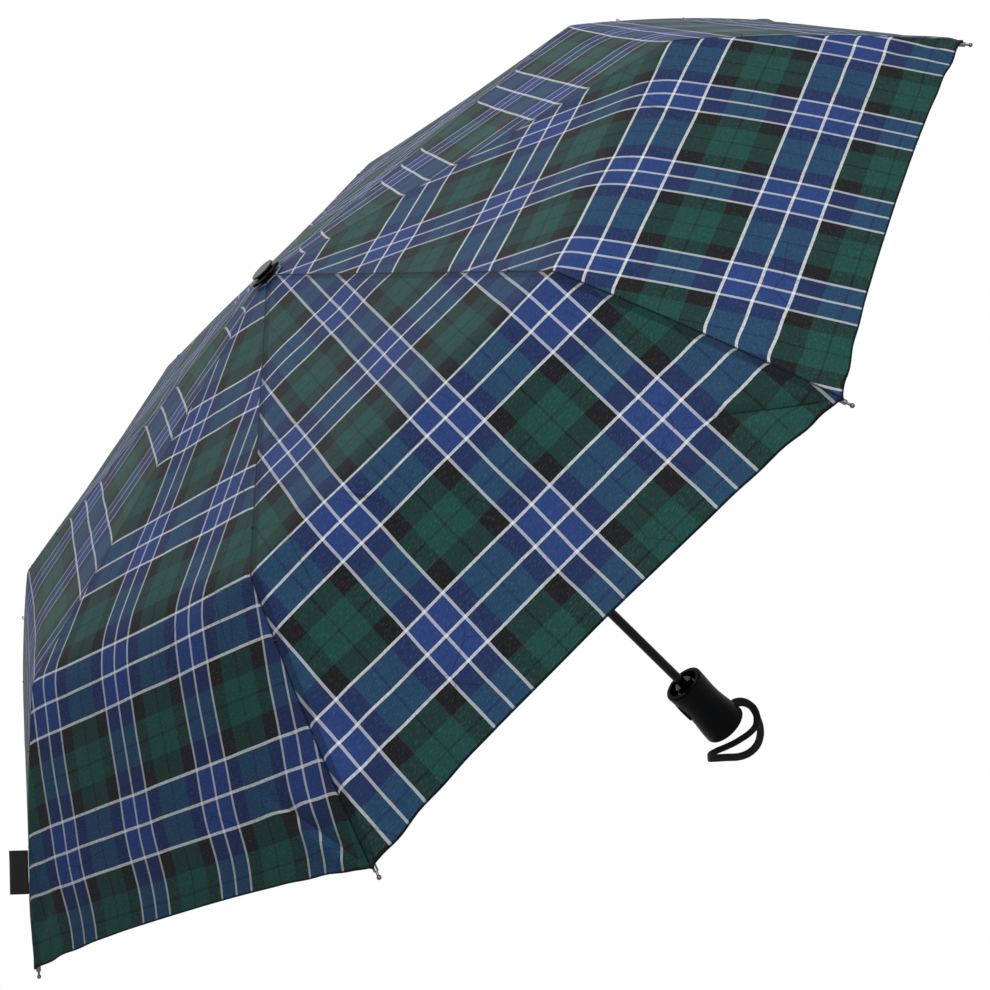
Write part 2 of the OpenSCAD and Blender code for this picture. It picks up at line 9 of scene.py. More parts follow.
import bmesh
import bpy
import numpy as np
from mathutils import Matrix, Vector


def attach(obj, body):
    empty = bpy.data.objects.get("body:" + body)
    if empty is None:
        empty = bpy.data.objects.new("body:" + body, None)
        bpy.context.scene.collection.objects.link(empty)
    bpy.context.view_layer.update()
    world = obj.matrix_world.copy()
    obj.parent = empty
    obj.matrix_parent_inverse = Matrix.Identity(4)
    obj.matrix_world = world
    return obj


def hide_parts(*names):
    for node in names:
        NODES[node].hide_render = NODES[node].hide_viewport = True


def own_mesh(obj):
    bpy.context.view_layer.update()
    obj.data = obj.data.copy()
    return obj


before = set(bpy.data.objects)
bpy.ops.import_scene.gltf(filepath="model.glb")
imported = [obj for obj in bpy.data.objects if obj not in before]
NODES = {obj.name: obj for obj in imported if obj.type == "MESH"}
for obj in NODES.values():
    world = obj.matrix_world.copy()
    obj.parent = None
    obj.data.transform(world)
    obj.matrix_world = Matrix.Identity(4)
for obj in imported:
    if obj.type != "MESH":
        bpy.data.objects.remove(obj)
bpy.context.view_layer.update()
MM = 0.001

# ---------- sizes shared with the part ----------

RIBS = 8
RIB_STEP = math.tau / RIBS
FIRST_RIB = -RIB_STEP / 2
HALF_STEP = RIB_STEP / 2
APEX_Z = 511.25 * MM
CROWN_Z = 503.05 * MM
CROWN_PIVOT_R = 10.5 * MM
ROOF_SLOPE = math.radians(9.7)
KNEE_R = 336.4 * MM
CANOPY_R = 485 * MM
CORNER_DROP = 186.4 * MM
CLOTH_BULGE = 3.4 * MM
HEM_CURVE = 8 * MM
CLOTH_HOLE_R = 4.9 * MM
CLOTH_T = 0.25 * MM
RIB_SLOPE = math.radians(9)
OUTER_SLOPE = math.radians(41.3)
TOP_LEN = 166 * MM
MIDDLE_LEN = 163.5 * MM
LABEL_LEN = 30 * MM
LABEL_W = 13 * MM
LABEL_T = 0.8 * MM
LABEL_OFFSET = 52 * MM
LABEL_LEAN = math.radians(30)

UP = np.array([0.0, 0.0, 1.0])


def rib_azimuth(k):
    """Azimuth of rib k, from 1 to RIBS; they follow each other clockwise, seen from above."""
    return FIRST_RIB - (k - 1) * RIB_STEP


def radial(azimuth):
    return np.array([math.cos(azimuth), math.sin(azimuth), 0.0])


def rib_direction(k, slope):
    return radial(rib_azimuth(k)) * math.cos(slope) - UP * math.sin(slope)


def unit(vector):
    return vector / np.linalg.norm(vector, axis=-1, keepdims=True)


# ---------- camera ----------

SENSOR_W = 36
LENS = 71.56
CAMERA_AT = (0.03281, -1.43804, 0.80392)
CAMERA_TURN = (61.7575, 41.8277, -18.4831)


def make_camera():
    data = bpy.data.cameras.new("camera")
    data.sensor_width = SENSOR_W
    data.lens = LENS
    data.clip_start = 0.05
    data.clip_end = 50
    cam = bpy.data.objects.new("camera", data)
    cam.location = CAMERA_AT
    cam.rotation_euler = [math.radians(a) for a in CAMERA_TURN]
    bpy.context.scene.collection.objects.link(cam)
    bpy.context.scene.camera = cam


make_camera()

# ---------- node helpers ----------

FLOAT, COLOR, VECTOR = "NodeSocketFloat", "NodeSocketColor", "NodeSocketVector"


class Graph:
    """Short ways to add and join shader nodes."""

    def __init__(self, tree):
        self.tree = tree

    def add(self, kind, inputs=None, **settings):
        node = self.tree.nodes.new(kind)
        for name, value in settings.items():
            setattr(node, name, value)
        for key, value in (inputs or {}).items():
            self.feed(node.inputs[key], value)
        return node

    def feed(self, socket, value):
        if isinstance(value, bpy.types.NodeSocket):
            self.tree.links.new(value, socket)
        else:
            socket.default_value = value

    def math(self, operation, a, b=0.0, c=0.0):
        return self.add("ShaderNodeMath", {0: a, 1: b, 2: c}, operation=operation).outputs[0]

    def chain(self, operation, *values):
        """One operation carried through all the values."""
        return functools.reduce(lambda a, b: self.math(operation, a, b), values)

    def total(self, base, *terms):
        """The base plus each (value, weight) of the terms, multiplied."""
        return functools.reduce(lambda so_far, term: self.math("MULTIPLY_ADD", *term, so_far), terms, base)

    def mix(self, factor, a, b, blend="MIX"):
        node = self.add("ShaderNodeMix", {0: factor, 6: a, 7: b}, data_type="RGBA", blend_type=blend)
        return node.outputs[2]

    def smooth(self, value, low, high):
        """0 below low, 1 above high."""
        node = self.add("ShaderNodeMapRange", {0: value, 1: low, 2: high}, interpolation_type="SMOOTHSTEP")
        return node.outputs[0]

    def near(self, value, low, high):
        """1 below low, 0 above high."""
        return self.math("SUBTRACT", 1.0, self.smooth(value, low, high))

    def noise(self, vector, scale, detail, roughness=0.5):
        inputs = {"Vector": vector, "Scale": scale, "Detail": detail, "Roughness": roughness}
        return self.add("ShaderNodeTexNoise", inputs).outputs["Fac"]

    def stretch(self, vector, share):
        """The vector with its X made smaller, so a texture on it grows long in X."""
        node = self.add("ShaderNodeVectorMath", {0: vector, 1: (share, 1.0, 1.0)}, operation="MULTIPLY")
        return node.outputs[0]

    def parts(self, vector):
        """The vector's outputs X, Y and Z."""
        return self.add("ShaderNodeSeparateXYZ", {0: vector}).outputs

    def uv(self, name):
        return self.add("ShaderNodeUVMap", uv_map=name).outputs[0]

    def bump(self, shader, strength, distance, height):
        node = self.add("ShaderNodeBump", {"Strength": strength, "Distance": distance, "Height": height})
        self.feed(shader.inputs["Normal"], node.outputs[0])


def srgb(r, g, b, alpha=1.0):
    """Linear colour of an sRGB value written from 0 to 255."""
    def linear(c):
        c /= 255
        return c / 12.92 if c <= 0.04045 else ((c + 0.055) / 1.055) ** 2.4
    return (linear(r), linear(g), linear(b), alpha)


def new_group(name, inputs, outputs):
    """Empty shader group with named sockets, as (tree, graph, input sockets, output node's sockets)."""
    tree = bpy.data.node_groups.new(name, "ShaderNodeTree")
    for socket, kind, value in inputs:
        made = tree.interface.new_socket(socket, in_out="INPUT", socket_type=kind)
        if value is not None:
            made.default_value = value
    for socket, kind in outputs:
        tree.interface.new_socket(socket, in_out="OUTPUT", socket_type=kind)
    g = Graph(tree)
    return tree, g, g.add("NodeGroupInput").outputs, g.add("NodeGroupOutput").inputs


def fine_wear_group():
    """Mottled brightness and a fine grain, for painted and moulded surfaces."""
    tree, g, given, out = new_group(
        "fine_wear",
        [("Vector", VECTOR, None), ("Color", COLOR, (0.02, 0.02, 0.02, 1)),
         ("Pale", COLOR, (0.05, 0.05, 0.05, 1)), ("Patch scale", FLOAT, 90.0), ("Grain scale", FLOAT, 2500.0),
         ("Roughness", FLOAT, 0.4), ("Variation", FLOAT, 0.1)],
        [("Color", COLOR), ("Roughness", FLOAT), ("Height", FLOAT)])
    patch = g.noise(given["Vector"], given["Patch scale"], 4.0, 0.6)
    pale = g.math("MULTIPLY", g.smooth(patch, 0.35, 0.75), given["Variation"])
    g.feed(out["Color"], g.mix(pale, given["Color"], given["Pale"]))
    uneven = g.math("SUBTRACT", patch, 0.5)
    g.feed(out["Roughness"], g.total(given["Roughness"], (uneven, given["Variation"])))
    g.feed(out["Height"], g.noise(given["Vector"], given["Grain scale"], 2.0))
    return tree


def sett_group():
    """Threads of one direction of the tartan, coloured by their distance from a middle white line."""
    tree, g, given, out = new_group(
        "tartan_threads",
        [("Distance", FLOAT, 0.0), ("Pitch", FLOAT, 0.1), ("Line spacing", FLOAT, 0.02),
         ("Line width", FLOAT, 0.002), ("Black width", FLOAT, 0.014), ("Dark width", FLOAT, 0.0022),
         ("Dark share", FLOAT, 0.75), ("Blue", COLOR, None), ("Green", COLOR, None), ("Black", COLOR, None),
         ("White", COLOR, None)],
        [("Color", COLOR), ("Line", FLOAT)])
    pitch, spacing = given["Pitch"], given["Line spacing"]
    repeat = g.math("DIVIDE", given["Distance"], pitch)
    off = g.math("SUBTRACT", repeat, g.math("ROUND", repeat))
    away = g.math("MULTIPLY", g.math("ABSOLUTE", off), pitch)
    off_side = g.math("ABSOLUTE", g.math("SUBTRACT", away, spacing))
    half_line = g.math("MULTIPLY", given["Line width"], 0.5)
    line = g.math("LESS_THAN", g.math("MINIMUM", away, off_side), half_line)
    green = g.math("GREATER_THAN", away, g.math("ADD", spacing, given["Black width"]))
    from_centre = g.math("SUBTRACT", g.math("MULTIPLY", pitch, 0.5), away)
    dark = g.math("LESS_THAN", from_centre, g.math("MULTIPLY", given["Dark width"], 0.5))
    base = g.mix(green, given["Black"], given["Green"])
    base = g.mix(g.math("LESS_THAN", away, spacing), base, given["Blue"])
    base = g.mix(g.math("MULTIPLY", dark, given["Dark share"]), base, given["Black"])
    g.feed(out["Color"], g.mix(line, base, given["White"]))
    g.feed(out["Line"], line)
    return tree


FINE_WEAR = fine_wear_group()
SETT = sett_group()


def new_material(name, **shader):
    """Material with one Principled shader, as (material, graph, shader node)."""
    material = bpy.data.materials.new(name)
    material.use_nodes = True
    material.node_tree.nodes.clear()
    g = Graph(material.node_tree)
    principled = g.add("ShaderNodeBsdfPrincipled", shader)
    g.add("ShaderNodeOutputMaterial", {"Surface": principled.outputs[0]})
    return material, g, principled


def worn_material(name, color, pale, roughness, bump=0.1, patch=90.0, grain=2500.0, variation=0.1, **shader):
    """Painted, moulded or metal finish from the shared wear group."""
    material, g, principled = new_material(name, **shader)
    place = g.add("ShaderNodeTexCoord").outputs["Object"]
    inputs = {"Vector": place, "Color": color, "Pale": pale, "Patch scale": patch, "Grain scale": grain,
              "Roughness": roughness, "Variation": variation}
    wear = g.add("ShaderNodeGroup", inputs, node_tree=FINE_WEAR).outputs
    g.feed(principled.inputs["Base Color"], wear["Color"])
    g.feed(principled.inputs["Roughness"], wear["Roughness"])
    g.bump(principled, bump, 0.1 * MM, wear["Height"])
    return material


# ---------- tartan ----------

BLUE = srgb(52, 75, 134)
GREEN = srgb(38, 82, 76)
BLACK = srgb(33, 33, 35)
# Near black of the seam thread and rolled hem, also mixed in as painted shade along folds and creases.
DARK_THREAD_AND_SHADE = srgb(8, 12, 18)
# Painted highlight: pale colour mixed into the cloth for the glint of its floats.
PAINTED_GLINT = srgb(150, 170, 180)
CLOTH_SHADER = {"Sheen Weight": 0.02, "Sheen Roughness": 0.35, "Sheen Tint": srgb(175, 182, 190),
                "Specular IOR Level": 0.045}
LINE_W = 1.9 * MM
DARK_LINE_W, DARK_LINE_SHARE = 1.6 * MM, 0.75
# Threads across and along a gore: their map's axis, pitch, spacing of the white lines, black band and white.
THREAD_WAYS = (("X", 87.3 * MM, 15.3 * MM, 13.2 * MM, srgb(236, 240, 248)),
               ("Y", 101.5 * MM, 20.5 * MM, 16.8 * MM, srgb(252, 254, 255)))
DRIFT = 1.2 * MM
TWILL_SLANT = math.radians(17)
FLOAT_STRETCH, YARN_STRETCH = 0.25, 0.03
# Noises on the cloth: scale per metre, detail and, for the floats, roughness.
FLOAT_NOISE = (1300.0, 2.0, 0.7)
YARN_NOISE = (900.0, 1.0)
BLOTCH_NOISE = (45.0, 3.0)
DRIFT_NOISE = (22.0, 1.0)
CREASE_NOISE = (13.0, 1.0)
# Share of the threads along the gore that shows: base, and what floats and the white lines of each way add.
SHOWN, SHOWN_FLOATS, SHOWN_ALONG, SHOWN_ACROSS = 0.4, 0.2, 0.17, -0.08
# Brightness: base, and what floats, blotches and yarns add.
LIGHT, LIGHT_FLOATS, LIGHT_BLOTCH, LIGHT_YARNS = 0.28, 0.9, 0.24, 0.3
# Share of the painted glint colour mixed in at its brightest.
PAINTED_GLINT_SHARE = 0.13
CLOTH_ROUGH, CLOTH_ROUGH_FLOATS = 0.46, 0.2
CLOTH_BUMP = 0.45
STITCH = 2.6 * MM
STITCH_HEIGHT = 1.4
# Distances between which a mark fades, and how dark it is.
SEAM_FADE, SEAM_DARK = (0.3 * MM, 1.4 * MM), 0.86
HEM_FADE, HEM_DARK = (0.9 * MM, 1.5 * MM), 0.92
DOUBLE_FADE, DOUBLE_DARK = (4.6 * MM, 5.8 * MM), 0.42
# The fold marks are painted shade: a dark line along each pressed fold, and a painted shadow below it.
FOLD_FADE, FOLD_SHADE_DARK = (0.2 * MM, 1.1 * MM), 0.9
FOLD_SHADOW, SHADOW_DARK = (-7.5 * MM, -0.3 * MM), 0.4
# The short creases are painted shade: dark lines along the edges of cells, in patches.
CREASE_CELLS, CREASE_FADE, CREASE_SHADE_DARK = 21.0, (0.002, 0.016), 0.36


def twill(g, place, ways):
    """Colour of both thread directions as the weave shows them, with a painted glint on its floats, and the
    noise of its floats.
    """
    # The floats run at a slant to the hem; long fine noise along them drives their texture, and where it is
    # high a pale colour is painted on as their glint, a painted highlight.
    turned = g.add("ShaderNodeVectorRotate", {"Vector": place, "Angle": TWILL_SLANT}, rotation_type="Z_AXIS")
    floats = g.noise(g.stretch(turned.outputs[0], FLOAT_STRETCH), *FLOAT_NOISE)
    yarns = g.noise(g.stretch(place, YARN_STRETCH), *YARN_NOISE)
    blotch = g.noise(place, *BLOTCH_NOISE)
    across, along = ways
    share = g.total(SHOWN, (g.smooth(floats, 0.3, 0.7), SHOWN_FLOATS), (along["Line"], SHOWN_ALONG),
                    (across["Line"], SHOWN_ACROSS))
    cloth = g.mix(share, across["Color"], along["Color"])
    light = g.total(LIGHT, (floats, LIGHT_FLOATS), (blotch, LIGHT_BLOTCH), (yarns, LIGHT_YARNS))
    grey = g.add("ShaderNodeCombineColor", {0: light, 1: light, 2: light}).outputs[0]
    cloth = g.mix(1.0, cloth, grey, "MULTIPLY")
    # Painted highlight: the glint colour mixed in where the floats' noise is high.
    painted_glint = g.math("MULTIPLY", g.smooth(floats, 0.55, 0.72), PAINTED_GLINT_SHARE)
    return g.mix(painted_glint, cloth, PAINTED_GLINT), floats


def short_crease_shade(g, place):
    """Painted shade of short straight creases, in patches, left by the way the cloth is stowed: dark lines
    along the edges of cells.
    """
    cells = g.add("ShaderNodeTexVoronoi", {"Vector": place, "Scale": CREASE_CELLS},
                  feature="DISTANCE_TO_EDGE")
    patch = g.smooth(g.noise(place, *CREASE_NOISE), 0.5, 0.6)
    return g.math("MULTIPLY", g.near(cells.outputs["Distance"], *CREASE_FADE), patch)


def tartan_cloth():
    """Woven tartan, read from the cloth's own maps in metres: across and along a gore, and from its edges."""
    material, g, principled = new_material("tartan_cloth", **CLOTH_SHADER)
    place = g.uv("gore")
    xy, rim, tuck, bend = [g.parts(g.uv(name)) for name in ("gore", "edge", "tuck", "crease")]
    drift = g.math("MULTIPLY", g.math("SUBTRACT", g.noise(place, *DRIFT_NOISE), 0.5), DRIFT)
    ways = []
    for axis, pitch, spacing, black, white in THREAD_WAYS:
        inputs = {"Distance": g.math("ADD", xy[axis], drift), "Pitch": pitch, "Line spacing": spacing,
                  "Line width": LINE_W, "Dark width": DARK_LINE_W, "Dark share": DARK_LINE_SHARE,
                  "Black width": black, "Blue": BLUE, "Green": GREEN, "Black": BLACK, "White": white}
        ways.append(g.add("ShaderNodeGroup", inputs, node_tree=SETT).outputs)
    cloth, floats = twill(g, place, ways)
    # The doubled cloth of a seam is darker; the seam's thread and the rolled hem are near black. Along the
    # pressed folds, below them and along short creases the same near black is mixed in as painted shade.
    seam = g.near(rim["X"], *SEAM_FADE)
    hem = g.near(rim["Y"], *HEM_FADE)
    double = g.near(tuck["X"], *DOUBLE_FADE)
    # Painted shade: a dark line along each fold, and a painted shadow on its lower side.
    fold_line_shade = g.near(g.math("ABSOLUTE", bend["X"]), *FOLD_FADE)
    below_fold_shade = g.math("MULTIPLY", g.smooth(bend["X"], *FOLD_SHADOW), g.math("LESS_THAN", bend["X"], 0.0))
    fold_shade = g.math("MAXIMUM", fold_line_shade, g.math("MULTIPLY", below_fold_shade, SHADOW_DARK))
    marks = [(seam, SEAM_DARK), (hem, HEM_DARK), (double, DOUBLE_DARK),
             (g.math("MULTIPLY", bend["Y"], fold_shade), FOLD_SHADE_DARK), (short_crease_shade(g, place), CREASE_SHADE_DARK)]
    dark = g.chain("MAXIMUM", *[g.math("MULTIPLY", mark, depth) for mark, depth in marks])
    g.feed(principled.inputs["Base Color"], g.mix(dark, cloth, DARK_THREAD_AND_SHADE))
    g.feed(principled.inputs["Roughness"], g.total(CLOTH_ROUGH, (floats, CLOTH_ROUGH_FLOATS)))
    # Stitches along the hem and the seams stand a little out of the cloth.
    stitch = g.math("ABSOLUTE", g.math("SINE", g.math("MULTIPLY", tuck["Y"], math.pi / STITCH)))
    sewn = g.math("MULTIPLY", stitch, g.math("MAXIMUM", hem, seam))
    g.bump(principled, CLOTH_BUMP, 0.3 * MM, g.total(floats, (sewn, STITCH_HEIGHT)))
    return material


# ---------- other materials ----------


def woven_tape(name, color, pale, pitch):
    """Flat black tape: ribs of yarn across it."""
    material, g, principled = new_material(
        name, **{"Sheen Weight": 0.05, "Sheen Roughness": 0.4, "Specular IOR Level": 0.2})
    speck = g.noise(g.add("ShaderNodeTexCoord").outputs["Object"], 1600.0, 3.0)
    xy = g.parts(g.uv("tape"))
    yarn = g.math("SINE", g.math("MULTIPLY", xy["Y"], math.tau / pitch))
    cross = g.math("SINE", g.math("MULTIPLY", xy["X"], math.tau / pitch))
    g.feed(principled.inputs["Base Color"], g.mix(speck, color, pale))
    g.feed(principled.inputs["Roughness"], g.total(0.45, (speck, 0.2)))
    g.bump(principled, 0.5, 0.25 * MM, g.total(speck, (yarn, cross)))
    return material


def cap_finish():
    """Glossy black cap with a satin top face."""
    material, g, principled = new_material("cap_black", **{"Specular IOR Level": 0.25})
    coord = g.add("ShaderNodeTexCoord").outputs
    top = g.smooth(g.parts(coord["Normal"])["Z"], 0.8, 0.97)
    grain = g.noise(coord["Object"], 1800.0, 3.0)
    satin = g.mix(grain, srgb(44, 44, 40), srgb(60, 60, 55))
    g.feed(principled.inputs["Base Color"], g.mix(top, srgb(6, 6, 7), satin))
    g.feed(principled.inputs["Roughness"], g.total(0.1, (top, 0.35)))
    g.bump(principled, 0.2, 0.1 * MM, grain)
    return material


CLOTH = tartan_cloth()
TAPE = woven_tape("strap_tape", srgb(6, 6, 7), srgb(18, 18, 20), 0.9 * MM)
LABEL = woven_tape("label_weave", srgb(2, 2, 3), srgb(8, 8, 10), 0.7 * MM)
CAP = cap_finish()
RUBBER = worn_material("soft_touch_rubber", srgb(4, 5, 7), srgb(9, 10, 14), 0.42, bump=0.15, variation=0.12,
                       grain=3200.0, **{"Specular IOR Level": 0.05})
GLOSS = worn_material("polished_black", srgb(4, 4, 6), srgb(12, 12, 14), 0.16, bump=0.02, variation=0.08,
                      **{"Specular IOR Level": 0.25})
PLASTIC = worn_material("moulded_black", srgb(9, 9, 11), srgb(20, 20, 23), 0.34, bump=0.12,
                        **{"Specular IOR Level": 0.2})
SKIRT = worn_material("skirt_black", srgb(2, 2, 3), srgb(8, 8, 10), 0.22, bump=0.03,
                      **{"Specular IOR Level": 0.06})
SHAFT = worn_material("shaft_paint", srgb(3, 3, 4), srgb(12, 12, 13), 0.2, bump=0.04, patch=60.0,
                      variation=0.08, **{"Specular IOR Level": 0.12})
RIB_STEEL = worn_material("rib_paint", srgb(24, 24, 26), srgb(70, 70, 72), 0.35, bump=0.06, variation=0.12,
                          **{"Metallic": 0.3})
ROD = worn_material("rib_rod", srgb(16, 16, 17), srgb(34, 34, 36), 0.45, bump=0.15)
SILVER = worn_material("tip_silver", srgb(92, 90, 90), srgb(66, 64, 64), 0.24, bump=0.03, **{"Metallic": 1.0})
WIRE = worn_material("ring_wire", srgb(150, 150, 152), srgb(110, 110, 112), 0.3, bump=0.04,
                     **{"Metallic": 1.0})
THREAD = worn_material("thread", srgb(20, 22, 28), srgb(50, 54, 62), 0.6, bump=0.3, variation=0.3)

# ---------- mesh helpers ----------


def add_piece(name, verts, faces, material, body, slot=None):
    """Smooth mesh piece on a body, in place in its own vertices."""
    mesh = bpy.data.meshes.new(name)
    mesh.from_pydata([tuple(v) for v in verts], [], faces)
    mesh.validate()
    mesh.update()
    mesh.materials.append(material)
    mesh.polygons.foreach_set("use_smooth", [True] * len(mesh.polygons))
    piece = bpy.data.objects.new(name, mesh)
    bpy.context.scene.collection.objects.link(piece)
    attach(piece, body)
    return piece


def add_map(mesh, name, per_vertex):
    """UV map from one pair of values for each vertex."""
    loops = np.zeros(len(mesh.loops), int)
    mesh.loops.foreach_get("vertex_index", loops)
    values = np.asarray(per_vertex, np.float32)[loops]
    mesh.uv_layers.new(name=name).data.foreach_set("uv", values.ravel())


def wrapped_rows(rows, cols, closed):
    """Faces of a grid whose rows close on themselves, and whose last row joins the first if closed."""
    return [(i * cols + j, i * cols + (j + 1) % cols, (i + 1) % rows * cols + (j + 1) % cols,
             (i + 1) % rows * cols + j)
            for i in range(rows if closed else rows - 1) for j in range(cols)]


def rounded(points, steps=4):
    """Outline with each inner corner (x, y, radius) turned into a short arc."""
    out = [Vector(points[0])]
    for before, (x, y, radius), after in zip(points, points[1:-1], points[2:]):
        p, a, b = Vector((x, y)), Vector(before[:2]), Vector(after[:2])
        cut = min(radius, (a - p).length * 0.45, (b - p).length * 0.45)
        start, end = p + (a - p).normalized() * cut, p + (b - p).normalized() * cut
        for j in range(steps + 1):
            t = j / steps
            out.append(start * (1 - t) ** 2 + p * 2 * t * (1 - t) + end * t * t)
    return out + [Vector(points[-1])]


def lathe(outline, sides):
    """Closed turned form of an outline of (radius, height) that starts and ends on the axis."""
    verts, rows, faces = [], [], []
    for r, z in outline:
        count = sides if r > 0 else 1
        rows.append([len(verts) + j % count for j in range(sides)])
        angles = [math.tau * j / sides for j in range(count)]
        verts += [(r * math.cos(a), r * math.sin(a), z) for a in angles]
    for low, high in zip(rows, rows[1:]):
        for j in range(sides):
            i = (j + 1) % sides
            faces.append(tuple(dict.fromkeys((low[j], low[i], high[i], high[j]))))
    return verts, faces


def sweep(path, section, up):
    """Closed tube of a section of (x, y) points carried along a path; up starts the section's y."""
    path = [Vector(p) for p in path]
    n, m = len(path), len(section)
    y = Vector(up).normalized()
    verts = []
    for i, p in enumerate(path):
        t = (path[min(i + 1, n - 1)] - path[max(i - 1, 0)]).normalized()
        y = (y - t * y.dot(t)).normalized()
        x = t.cross(y)
        verts += [p + x * a + y * b for a, b in section]
    ends = [tuple(range(m))[::-1], tuple((n - 1) * m + j for j in range(m))]
    return verts, wrapped_rows(n, m, False) + ends


def circle(radius, sides):
    return [(radius * math.cos(math.tau * j / sides), radius * math.sin(math.tau * j / sides))
            for j in range(sides)]


def apply_modifiers(piece):
    """Put the modified mesh in the place of the piece's own."""
    depsgraph = bpy.context.evaluated_depsgraph_get()
    mesh = bpy.data.meshes.new_from_object(piece.evaluated_get(depsgraph), depsgraph=depsgraph)
    piece.modifiers.clear()
    piece.data = mesh


def close_mesh(piece):
    """Join vertices that meet, and point the faces outwards."""
    bm = bmesh.new()
    bm.from_mesh(piece.data)
    bmesh.ops.remove_doubles(bm, verts=bm.verts, dist=1e-7)
    bmesh.ops.recalc_face_normals(bm, faces=bm.faces)
    bm.to_mesh(piece.data)
    bm.free()


# ---------- form of the cloth ----------

KNEE_DROP = KNEE_R * math.tan(ROOF_SLOPE)
OUTER_DX = CANOPY_R - KNEE_R
OUTER_DZ = CORNER_DROP - KNEE_DROP
OUTER_CHORD = math.hypot(OUTER_DX, OUTER_DZ)
ROOF_RUN = KNEE_R / math.cos(ROOF_SLOPE)
CLOTH_RUN = ROOF_RUN + OUTER_CHORD
HOLE_RUN = CLOTH_HOLE_R / math.cos(ROOF_SLOPE)
PIVOT_RUN = CROWN_PIVOT_R / math.cos(ROOF_SLOPE)
# The knee is rounded over this much of its run on each side: over a rib, and more in the middle of a gore.
RIB_EASE, GORE_EASE = 3 * MM, 24 * MM
# Waves pulled from the hem along the ribs, slow ones, and one long one in each gore: height, and how fast
# they turn along the ribs (per metre) or across a gore (per share of it). Near the crown the cloth is taut.
PULL_HEIGHT, PULL_RATE, PULL_REACH, PULL_SHARE = 1.1 * MM, 58, 60 * MM, 0.16
SLOW_HEIGHT, SLOW_RATE, SLOW_RATE_ACROSS = 0.7 * MM, 31, 7
LONG_HEIGHT, LONG_RATE, LONG_SHARE, LONG_WANDER = 0.6 * MM, 19, 0.2, 0.08
TAUT_TO, LOOSE_OVER = 30 * MM, 100 * MM
# What each next gore adds to the phase of a wave, so that no two gores are alike.
PULL_PHASE, SLOW_PHASE, LONG_PHASE, LONG_PLACE_PHASE, SWAY_PHASE = 0.6, 1.7, 0.9, 2.1, 1.9
# Folds pressed in from the corners: width, bend, run over which they deepen, share of their reach in which
# they fade, and the ridge beside them: share of their depth, its offset and its width in widths of a fold.
CREASE_W = 5 * MM
CREASE_BEND = 0.9
CREASE_START = 12 * MM
CREASE_END = 0.6
RIDGE_SHARE, RIDGE_OFF, RIDGE_W = 0.7, 2, 1.3
# For each gore, at its first and its second rib: slant from the rib in degrees, depth and reach in mm.
CREASES = {1: ((30, 0.8, 70), (36, 0.7, 60)), 2: ((43, 1.9, 110), (26, 0.9, 60)),
           3: ((46, 1.6, 120), (30, 0.8, 70)), 4: ((35, 1.2, 80), (28, 0.7, 60)),
           5: ((40, 1.3, 90), (33, 1, 70)), 6: ((28, 0.8, 60), (42, 1.5, 100)),
           7: ((36, 1, 80), (30, 0.8, 60)), 8: ((44, 1.6, 110), (34, 0.9, 70))}


def rib_profile(s):
    """Radius, and height from the apex, of the cloth over a rib, at the distance s along it."""
    x = s - ROOF_RUN
    share = x / OUTER_CHORD
    lift = 4 * CLOTH_BULGE * share * (1 - share)
    outer_r = KNEE_R + (x * OUTER_DX + lift * OUTER_DZ) / OUTER_CHORD
    outer_z = -KNEE_DROP + (-x * OUTER_DZ + lift * OUTER_DX) / OUTER_CHORD
    r = np.where(x <= 0, s * math.cos(ROOF_SLOPE), outer_r)
    z = np.where(x <= 0, -s * math.sin(ROOF_SLOPE), outer_z)
    return r, z


def eased_profile(s, half_width):
    """The profile with its knee rounded over a window, as cloth spans it away from the ribs."""
    r, z = 0.0, 0.0
    steps = 8
    for i in range(-steps, steps + 1):
        ri, zi = rib_profile(s + half_width * i / steps)
        r, z = r + ri, z + zi
    return r / (2 * steps + 1), z / (2 * steps + 1)


def hem_run(v):
    """Distance from the apex to the hem, at the share v of the way from one rib to the next."""
    curve = (4 * v * (1 - v) + 1 - (2 * v - 1) ** 4) / 2
    return HOLE_RUN + (CLOTH_RUN - HOLE_RUN) * (1 - HEM_CURVE / CLOTH_RUN * curve)


def centre_line():
    """Length along the middle of a gore against the distance s along a rib."""
    s = np.linspace(0, CLOTH_RUN * 1.01, 800)
    r, z = rib_profile(s)
    x = r * math.cos(HALF_STEP)
    return s, np.concatenate([[0], np.cumsum(np.hypot(np.diff(x), np.diff(z)))])


LINE_S, LINE_Y = centre_line()


def ripples(gore, s, v):
    """Height of the small waves in the cloth over its taut form."""
    from_hem = np.clip((CLOTH_RUN - s) / PULL_REACH, 0, 4)
    from_rib = np.minimum(v, 1 - v)
    near_rib = np.exp(-((from_rib / PULL_SHARE) ** 2))
    pull = np.exp(-from_hem) * near_rib * np.sin(from_rib * PULL_RATE + PULL_PHASE * gore)
    side = np.sin(math.pi * np.clip(from_rib * 2, 0, 1))
    slow = np.sin(s * SLOW_RATE + SLOW_PHASE * gore) * np.sin(v * SLOW_RATE_ACROSS + gore) * side
    fold_v = 0.5 + LONG_WANDER * np.sin(gore * LONG_PLACE_PHASE)
    long_fold = np.exp(-(((v - fold_v) / LONG_SHARE) ** 2)) * np.sin(s * LONG_RATE + LONG_PHASE * gore)
    loose = np.clip((s - TAUT_TO) / LOOSE_OVER, 0, 1) * side
    return PULL_HEIGHT * pull * (from_rib > 0) + loose * (SLOW_HEIGHT * slow + LONG_HEIGHT * long_fold)


